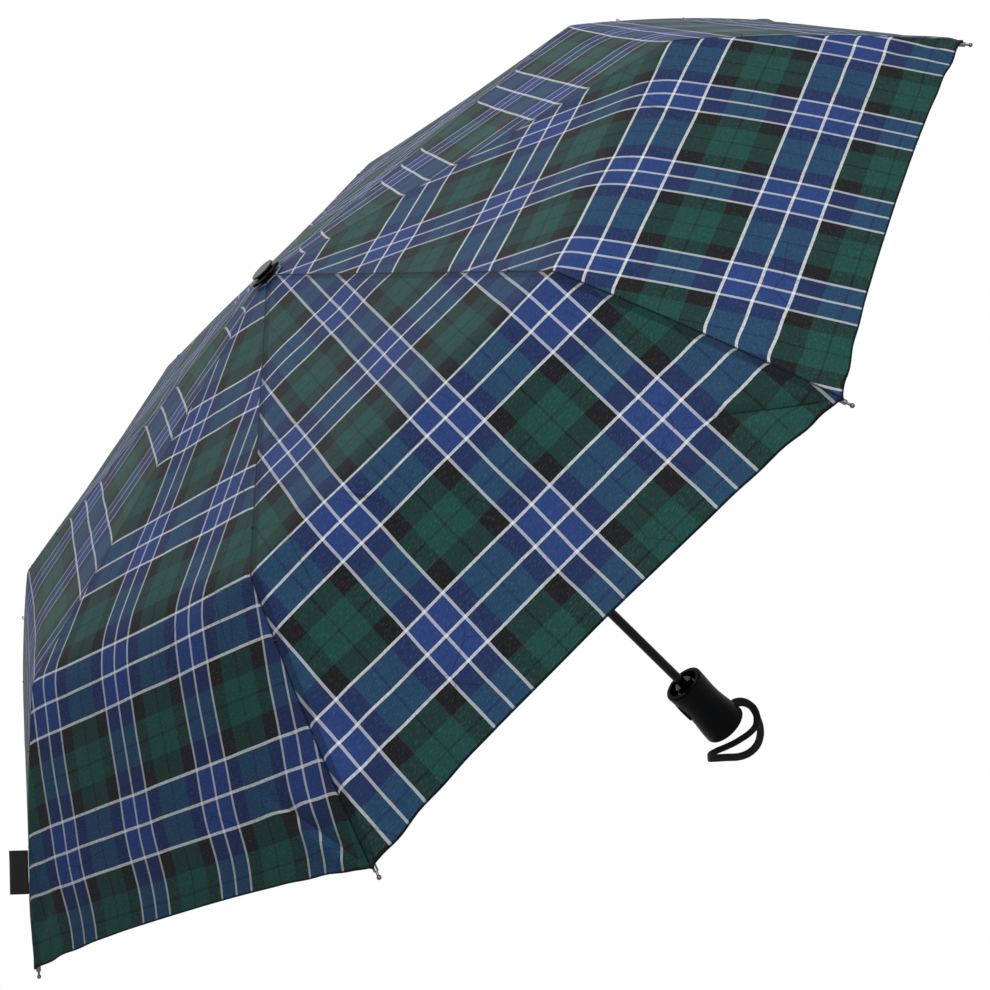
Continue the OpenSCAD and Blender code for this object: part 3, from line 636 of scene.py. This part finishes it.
def crease_lines(gore, s, v):
    """For the two folds that run from the corners into a gore: distance off the line, and strength there."""
    ahead = CLOTH_RUN - s
    for share, (slant, deep, reach) in zip((v, 1 - v), CREASES[gore]):
        reach *= MM
        aside = 2 * (CANOPY_R - ahead * OUTER_DX / OUTER_CHORD) * math.sin(HALF_STEP) * share
        c, si = math.cos(math.radians(slant)), math.sin(math.radians(slant))
        run = aside * si + ahead * c
        off = aside * c - ahead * si + CREASE_BEND * run * (reach - run)
        start = np.clip(run / CREASE_START, 0, 1)
        end = np.clip((reach - run) / (reach * CREASE_END), 0, 1)
        yield off, start * end * (3 - 2 * end) * end * deep


def crease_depth(gore, s, v):
    """Depth of the pressed folds: a groove, with a lower ridge beside it."""
    depth = 0.0
    for off, strength in crease_lines(gore, s, v):
        off = off / CREASE_W
        groove, ridge = np.exp(-off ** 2), RIDGE_SHARE * np.exp(-((off - RIDGE_OFF) / RIDGE_W) ** 2)
        depth = depth + MM * strength * (groove - ridge)
    return depth


def cloth_point(gore, s, v):
    """Points of a gore's upper face, from its first rib (v = 0) to its second (v = 1)."""
    ease = RIB_EASE + GORE_EASE * 4 * v * (1 - v)
    r, z = eased_profile(s, np.minimum(ease, np.maximum(s - HOLE_RUN, 0) * 0.5))
    along = r * math.cos(HALF_STEP)
    across = r * math.sin(HALF_STEP) * (1 - 2 * v)
    az = rib_azimuth(gore) - HALF_STEP
    c, si = math.cos(az), math.sin(az)
    height = z + ripples(gore, s, v) - crease_depth(gore, s, v)
    return np.stack([along * c - across * si, along * si + across * c, APEX_Z + height], -1)


def cloth_normal(gore, s, v):
    ds, dv = 0.4 * MM, 0.002
    a = cloth_point(gore, s + ds, v) - cloth_point(gore, s - ds, v)
    b = cloth_point(gore, s, v + dv) - cloth_point(gore, s, v - dv)
    n = unit(np.cross(b, a))
    return n * np.sign(n[..., 2:3])


def cut_runs(gore, v, point, direction):
    """Distances s at which the columns v cross the plane through point, square to direction."""
    s = np.linspace(HOLE_RUN, CLOTH_RUN, 400)
    runs = []
    for value in v:
        height = (cloth_point(gore, s, np.full_like(s, value)) - point) @ direction
        runs.append(np.interp(0.0, height, s))
    return np.array(runs)


# ---------- canopy ----------

# How the tartan lies on a gore: offset across it, its first band along it, and what single gores add.
TRIPLE_OFFSET = 21 * MM
FIRST_BAND = 30.5 * MM
GORE_SHIFT = {3: 7 * MM}
# Near the hem the threads sway sideways, in mm by gore, and beside a rib the seam draws them in.
SWAY = {1: 0.4, 2: 0.4, 3: 2.4}
PLAIN_SWAY = 1.4
SWAY_REACH, SWAY_RATE, SWAY_EDGE = 55 * MM, 88, 20 * MM
SEAM_PULL, SEAM_PULL_REACH = 1.6 * MM, 4 * MM
# Gores with an odd number have no doubled cloth beside their seams, so their map starts past it.
NO_TUCK = 50 * MM
HEM_ROLL, HEM_SWELL = 2.2 * MM, 1.0 * MM
COLS = 34
ROWS = {"top": 26, "middle": 34, "outer": 60}
GRID_EASE = 1.25
KEEP = {"top": 0.05, "middle": 0.035, "outer": 0.05}
FOLD_LEAN = 0.1


def sheet_faces(rows, cols):
    """Faces of a thin closed sheet: its upper grid, its lower grid, and the rim between them."""
    n = rows * cols
    faces = []
    for i in range(rows - 1):
        for j in range(cols - 1):
            a, b, c, d = i * cols + j, i * cols + j + 1, (i + 1) * cols + j + 1, (i + 1) * cols + j
            faces += [(a, b, c, d), (n + a, n + d, n + c, n + b)]
    grid = np.arange(n).reshape(rows, cols)
    ring = np.concatenate([grid[0], grid[1:, -1], grid[-1, -2::-1], grid[-2:0:-1, 0]]).tolist()
    return faces + [(b, a, n + a, n + b) for a, b in zip(ring, ring[1:] + ring[:1])]


def cloth_maps(gore, s, v, to_hem, from_rib):
    """The maps that the tartan reads, as a pair of values for each point of the grid."""
    r, _ = rib_profile(s)
    side = -1 if gore % 2 else 1
    sway = SWAY.get(gore, PLAIN_SWAY) * MM * np.exp(-to_hem / SWAY_REACH)
    sway = sway * np.sin(to_hem * SWAY_RATE + SWAY_PHASE * gore) * np.clip(from_rib / SWAY_EDGE, 0, 1)
    across = r * math.sin(HALF_STEP) * (1 - 2 * v) * side + sway - TRIPLE_OFFSET - GORE_SHIFT.get(gore, 0)
    pulled = SEAM_PULL * np.exp(-from_rib / SEAM_PULL_REACH)
    along = np.interp(s, LINE_S, LINE_Y) - FIRST_BAND - pulled
    seam_run = np.where(to_hem < from_rib, across, along)
    tuck = from_rib + (NO_TUCK if gore % 2 else 0)
    off, fold = 1.0 + 0 * s, 0 * s
    for line, strength in crease_lines(gore, s, v):
        nearer = np.abs(line) < np.abs(off)
        off, fold = np.where(nearer, line, off), np.where(nearer, np.clip(strength - 1, 0, 1), fold)
    return {"gore": (across, along), "edge": (from_rib, to_hem), "tuck": (tuck, seam_run),
            "crease": (off, fold)}


def cloth_sheet(name, gore, s, v, rib, keep):
    """One stretch of a gore: two faces and a rim, with its maps, smooth at its edges, on its rib's body."""
    top = cloth_point(gore, s, v)
    normal = cloth_normal(gore, s, v)
    to_hem = hem_run(v) - s
    rolled = np.exp(-((to_hem / HEM_ROLL) ** 4))[..., None]
    low = top - normal * (CLOTH_T + HEM_SWELL * rolled)
    verts = np.concatenate([top.reshape(-1, 3), low.reshape(-1, 3)])
    faces = sheet_faces(*s.shape)
    if np.cross(top[0, 1] - top[0, 0], top[1, 0] - top[0, 0]) @ normal[0, 0] < 0:
        faces = [f[::-1] for f in faces]
    piece = add_piece(name, verts, faces, CLOTH, rib)
    r, _ = rib_profile(s)
    from_rib = 2 * r * math.sin(HALF_STEP) * np.minimum(v, 1 - v)
    for map_name, (x, y) in cloth_maps(gore, s, v, to_hem, from_rib).items():
        add_map(piece.data, map_name, np.tile(np.stack([x.ravel(), y.ravel()], -1), (2, 1)))
    shading = np.concatenate([normal.reshape(-1, 3), -normal.reshape(-1, 3)])
    piece.data.normals_split_custom_set_from_vertices(shading.tolist())
    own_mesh(piece)
    return piece


def fold_axis(part, direction, chord):
    """Axis square to a rib's length, along the chord to the next rib."""
    axis = unit(chord - direction * (chord @ direction))
    if part == "middle":
        # For the middle length it leans a little.
        lift = unit(np.cross(direction, np.cross(UP, direction)))
        axis = axis * math.cos(FOLD_LEAN) - lift * math.sin(FOLD_LEAN)
    return axis


def make_canopy():
    """Sixteen half gores, each in three stretches that fold with their rib's three lengths."""
    share = (np.arange(COLS + 1) / COLS) ** GRID_EASE * 0.5
    for k in range(1, RIBS + 1):
        inner = rib_direction(k, RIB_SLOPE)
        outer = rib_direction(k, OUTER_SLOPE)
        crown = radial(rib_azimuth(k)) * CROWN_PIVOT_R + UP * CROWN_Z
        knee_1 = crown + inner * TOP_LEN
        knee_2 = crown + inner * (TOP_LEN + MIDDLE_LEN)
        for side, gore in (("a", k), ("b", (k - 2) % RIBS + 1)):
            v = share if side == "a" else 1 - share
            cuts = [np.full(COLS + 1, PIVOT_RUN), cut_runs(gore, v, knee_1, inner),
                    cut_runs(gore, v, knee_2, inner), hem_run(v)]
            chord = radial(rib_azimuth(gore + 1 if side == "a" else gore)) - radial(rib_azimuth(k))
            for n, (part, direction) in enumerate((("top", inner), ("middle", inner), ("outer", outer))):
                t = np.linspace(0, 1, ROWS[part] + 1)[:, None]
                if part == "outer":
                    t = 1 - (1 - t) ** GRID_EASE
                s = cuts[n][None, :] * (1 - t) + cuts[n + 1][None, :] * t
                grid_v = np.broadcast_to(v, s.shape)
                anchor = cloth_point(gore, s[:1, :1], grid_v[:1, :1])[0, 0]
                axis = fold_axis(part, direction, chord)
                cloth_sheet(f"cloth_{part}_{k}{side}", gore, s, grid_v, f"{part}_rib_{k}",
                                        KEEP[part])
    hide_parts("canopy")


def make_cloth_ring():
    """Bound edge of the cloth's middle hole, clamped by the crown's skirt; it stays when the ribs fold."""
    steps = 8
    share = np.arange(steps) / steps
    rings = []
    for s, drop in ((HOLE_RUN, 0), (PIVOT_RUN, 0), (PIVOT_RUN, CLOTH_T), (HOLE_RUN, CLOTH_T)):
        loop = [cloth_point(gore, np.full(steps, s), share) for gore in range(1, RIBS + 1)]
        rings.append(np.concatenate(loop) - UP * drop)
    faces = wrapped_rows(len(rings), RIBS * steps, True)
    piece = add_piece("cloth_ring", np.concatenate(rings), faces, CLOTH, "upper_tube", slot="cloth")
    close_mesh(piece)


make_canopy()
make_cloth_ring()

# ---------- label in a seam ----------

LABEL_WAVE = 0.35 * MM
LABEL_WAVE_RATE = 150
LABEL_CLEARANCE = 0.5 * MM
LABEL_LAYER_T = 0.3 * LABEL_T
LABEL_PARTING = 0.42 * LABEL_T


def make_label():
    """Bare woven label, folded in two and caught by its open edge in the seam over rib 4."""
    from_apex = CLOTH_RUN - LABEL_OFFSET
    (r0, r1), (z0, z1) = rib_profile(np.array([from_apex - LABEL_LEN, from_apex]))
    out = radial(rib_azimuth(4))
    along = unit(out * (r1 - r0) + UP * (z1 - z0))
    side = unit(np.cross(UP, along))
    square = np.cross(along, side)
    stand = square * math.cos(LABEL_LEAN) - side * math.sin(LABEL_LEAN)
    face = np.cross(along, stand)
    corner = out * r0 + UP * (APEX_Z + z0) + square * LABEL_CLEARANCE
    rows, cols = 14, 20
    verts, uv = [], []
    for i in range(rows + 1):
        height = i / rows * 2
        up = LABEL_W * min(height, 2 - height)
        # The two layers part a little on their way from the seam to the fold.
        half_gap = LABEL_PARTING * (0.55 + 0.45 * math.sin(math.pi * i / rows))
        gap = half_gap * ((height < 1) - (height > 1))
        for j in range(cols + 1):
            x = LABEL_LEN * j / cols
            bend = LABEL_WAVE * math.sin(x * LABEL_WAVE_RATE) * (up / LABEL_W) ** 2
            verts.append(corner + along * x + stand * up + face * (gap + bend))
            uv.append((x, LABEL_W * height))
    width = cols + 1
    faces = [(i * width + j, i * width + j + 1, (i + 1) * width + j + 1, (i + 1) * width + j)
             for i in range(rows) for j in range(cols)]
    piece = add_piece("woven_label", verts, faces, LABEL, "outer_rib_4", slot="tab_web")
    add_map(piece.data, "tape", uv)
    solid = piece.modifiers.new("thickness", "SOLIDIFY")
    solid.thickness = LABEL_LAYER_T
    solid.offset = 0
    apply_modifiers(piece)
    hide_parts("seam_label")
    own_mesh(piece)


make_label()

# ---------- crown ----------

LOBE = 0.7 * MM
SKIRT_R = 13.4 * MM
SKIRT_LEAN = -0.7 * MM
SKIRT_SIDES = 144
CAP_SIDES = 72
CAP_SHARP = math.radians(35)
# Outline of the cap in mm: radius, height over the cloth's apex, and radius of the corner.
CAP_OUTLINE = [(0, 6), (9.2, 6, 0.3), (10, 5.5, 0.4), (10, 4.7, 0.4), (9.1, 4.2, 0.4), (7.6, 3.8, 0.4),
               (7.4, 1.6, 0.3), (0, 1.6)]
# Outline of the skirt: share of its radius, and height over the cloth's apex in mm.
SKIRT_RINGS = [(0.45, 3.0), (0.7, 3.25), (0.88, 3.1), (0.97, 2.6), (1.0, 1.9), (0.97, 1.1), (0.86, 0.5),
               (0.6, 0.1), (0.36, 0.1), (0.36, 2.4)]


def make_crown():
    """Cap turned with a waist under its rim, and the lobed skirt that holds the cloth down round it."""
    outline = [(r * MM, APEX_Z + z * MM) for r, z in rounded(CAP_OUTLINE)]
    cap = add_piece("crown_cap_turned", *lathe(outline, CAP_SIDES), CAP, "upper_tube", slot="black_gloss")
    close_mesh(cap)
    cap.data.set_sharp_from_angle(angle=CAP_SHARP)
    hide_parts("crown_cap")
    verts = []
    for share, height in SKIRT_RINGS:
        for j in range(SKIRT_SIDES):
            a = math.tau * j / SKIRT_SIDES
            r = share * (SKIRT_R + LOBE * math.cos(RIBS * (a - FIRST_RIB)) * share)
            verts.append((r * math.cos(a) + SKIRT_LEAN * share ** 2, r * math.sin(a), APEX_Z + height * MM))
    faces = wrapped_rows(len(SKIRT_RINGS), SKIRT_SIDES, True)
    skirt = add_piece("crown_skirt", verts, faces, SKIRT, "upper_tube", slot="black_plastic")
    close_mesh(skirt)
    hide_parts("crown_washer")


make_crown()

# ---------- threads that tie the cloth to the ribs ----------

THREAD_R = 0.35 * MM
TIE_TWIST = 0.5 * MM
# For each rib: length before it, slope, and in mm its ties' places along it, half width, bottom and top.
TIES = (("middle", TOP_LEN, RIB_SLOPE, (42, 118), 2.3, -2.6, 3.6),
        ("outer", MIDDLE_LEN, OUTER_SLOPE, (46, 112), 1.8, 0.8, 6.2))


def make_ties():
    """Two loops of thread round each middle and outer rib, up to the cloth."""
    for k in range(1, RIBS + 1):
        start = radial(rib_azimuth(k)) * CROWN_PIVOT_R + UP * CROWN_Z
        across = np.cross(UP, radial(rib_azimuth(k)))
        for part, run, slope, places, half_w, low, high in TIES:
            start = start + rib_direction(k, RIB_SLOPE) * run
            along = rib_direction(k, slope)
            normal = np.cross(along, across)
            verts, faces = [], []
            for at in places:
                centre = start + along * at * MM + normal * (low + high) / 2 * MM
                wide, tall = across * half_w * MM, normal * (high - low) / 2 * MM
                turns = [math.tau * j / 20 for j in range(21)]
                loop = [centre + wide * math.cos(a) + tall * math.sin(a) + along * TIE_TWIST * math.cos(2 * a)
                        for a in turns]
                more, sides = sweep(loop, circle(THREAD_R, 6), along)
                faces += [tuple(i + len(verts) for i in face) for face in sides]
                verts += more
            tie = add_piece(f"tie_{part}_{k}", verts, faces, THREAD, f"{part}_rib_{k}", slot="cloth")
            close_mesh(tie)


make_ties()

# ---------- wrist strap ----------

STRAP_W = 6.4 * MM
STRAP_T = 1.4 * MM
# Powers that square the tape's section: through its thickness and across its width.
STRAP_FLAT, STRAP_SQUARE = 0.7, 0.45
STRAP_UP = (0, 0.35, 0.94)
STRAP_ROUTE = [
    (15, 2.2, -22), (18.5, 2.2, -22), (22.5, 1.6, -24), (25.6, -0.8, -28), (26.6, -4, -32),
    (25.2, -8, -35.5), (22.5, -11.5, -38), (17.5, -15, -40), (9.5, -17, -39.5), (1, -16.5, -38),
    (-5.5, -15.8, -36.5), (-13, -14.8, -34), (-20, -13.5, -31.5), (-26, -11.3, -31),
    (-29.2, -7, -34.5), (-26.5, -3, -40.5), (-19, -3.3, -48), (-11, -5.4, -55), (-3, -6.5, -58.7),
    (5, -6.6, -59.2), (11, -6.5, -57), (16.2, -6.2, -53), (20.3, -6, -47.4), (23, -4.8, -42),
    (25.4, -2.6, -37.5), (26.3, 0.8, -33), (25.8, 3.8, -29.4), (23.2, 6, -25.6), (19, 6.5, -22.4),
    (15, 6.4, -22)]


def smooth_path(points, per_span):
    """Catmull-Rom curve through the points."""
    pts = [points[0] * 2 - points[1], *points, points[-1] * 2 - points[-2]]
    out = []
    for a, b, c, d in zip(pts, pts[1:], pts[2:], pts[3:]):
        for j in range(per_span):
            t = j / per_span
            out.append(0.5 * (2 * b + (c - a) * t + (2 * a - 5 * b + 4 * c - d) * t * t
                              + (3 * b - a - 3 * c + d) * t * t * t))
    return out + [pts[-2]]


def make_strap():
    """Flat tape with rounded edges, from its anchor round under the grip and back."""
    path = smooth_path([Vector(p) * MM for p in STRAP_ROUTE], 6)
    section = []
    for c, s in circle(1, 16):
        section.append((STRAP_T / 2 * math.copysign(abs(s) ** STRAP_FLAT, s),
                        STRAP_W / 2 * math.copysign(abs(c) ** STRAP_SQUARE, c)))
    piece = add_piece("strap", *sweep(path, section, STRAP_UP), TAPE, "handle", slot="strap_web")
    run = np.concatenate([[0], np.cumsum([(b - a).length for a, b in zip(path, path[1:])])])
    add_map(piece.data, "tape", [(y, length) for length in run for _, y in section])
    close_mesh(piece)
    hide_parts("wrist_strap")
    tuple(path[0])
    [tuple(p) for p in path]


make_strap()

# ---------- finish of the part's own solids ----------

FINISH = {"top_rib": RIB_STEEL, "stretcher": RIB_STEEL, "middle_rib": RIB_STEEL, "outer_rib": ROD,
          "rib_tip": SILVER, "handle_grip": RUBBER, "handle_collar": GLOSS, "handle_end_cap": PLASTIC,
          "push_button": RUBBER, "strap_anchor": PLASTIC, "lower_tube": SHAFT, "middle_tube": SHAFT,
          "upper_tube": SHAFT, "crown_hub": PLASTIC, "crown_ring": WIRE, "runner": PLASTIC,
          "runner_ring": WIRE}
for node_name, node in NODES.items():
    family = node_name.rstrip("12345678").rstrip("_")
    if family in FINISH:
        node.data.materials.clear()
        node.data.materials.append(FINISH[family])

# ---------- floor, world and lamps ----------

WHITE = (1, 1, 1, 1)
FLOOR_Z = -0.4
FLOOR_GREY = (0.6, 0.6, 0.6, 1)
AMBIENT = 0.03
# Name, place, target, size and power.
LAMPS = (("key", (0.95, -1.9, 1.9), (0, 0, 0.35), 1.6, 45), ("back", (0.1, 1.6, 2.2), (0, 0, 0.35), 1.6, 16),
         ("handle", (0.6, -0.1, 0.1), (0, 0, 0), 0.3, 0.2))


def white_when_seen(g, lit, white, output):
    """White to the camera, in reflections and through glass; the lit shader for all other light."""
    rays = g.add("ShaderNodeLightPath").outputs
    names = ("Is Camera Ray", "Is Transmission Ray", "Is Glossy Ray")
    seen = g.chain("MAXIMUM", *[rays[name] for name in names])
    mixed = g.add("ShaderNodeMixShader", {0: seen, 1: lit.outputs[0], 2: white.outputs[0]})
    g.add(output, {"Surface": mixed.outputs[0]})


def make_floor():
    bpy.ops.mesh.primitive_plane_add(size=40, location=(0, 0, FLOOR_Z))
    floor = bpy.context.object
    floor.name = "floor"
    material = bpy.data.materials.new("floor_white")
    material.use_nodes = True
    material.node_tree.nodes.clear()
    g = Graph(material.node_tree)
    diffuse = g.add("ShaderNodeBsdfDiffuse", {"Color": FLOOR_GREY})
    glow = g.add("ShaderNodeEmission", {"Color": WHITE, "Strength": 1.0})
    white_when_seen(g, diffuse, glow, "ShaderNodeOutputMaterial")
    floor.data.materials.append(material)


def make_world():
    world = bpy.data.worlds.new("studio")
    bpy.context.scene.world = world
    world.use_nodes = True
    world.node_tree.nodes.clear()
    g = Graph(world.node_tree)
    ambient = g.add("ShaderNodeBackground", {"Color": WHITE, "Strength": AMBIENT})
    white = g.add("ShaderNodeBackground", {"Color": WHITE, "Strength": 1.0})
    white_when_seen(g, ambient, white, "ShaderNodeOutputWorld")


def add_lamp(name, location, target, size, power):
    data = bpy.data.lights.new(name, "AREA")
    data.shape = "DISK"
    data.size = size
    data.energy = power
    lamp = bpy.data.objects.new(name, data)
    lamp.visible_camera = False
    lamp.location = location
    lamp.rotation_euler = (Vector(target) - Vector(location)).to_track_quat("-Z", "Y").to_euler()
    bpy.context.scene.collection.objects.link(lamp)


make_floor()
make_world()
for lamp in LAMPS:
    add_lamp(*lamp)
bpy.context.scene.view_settings.view_transform = "Standard"
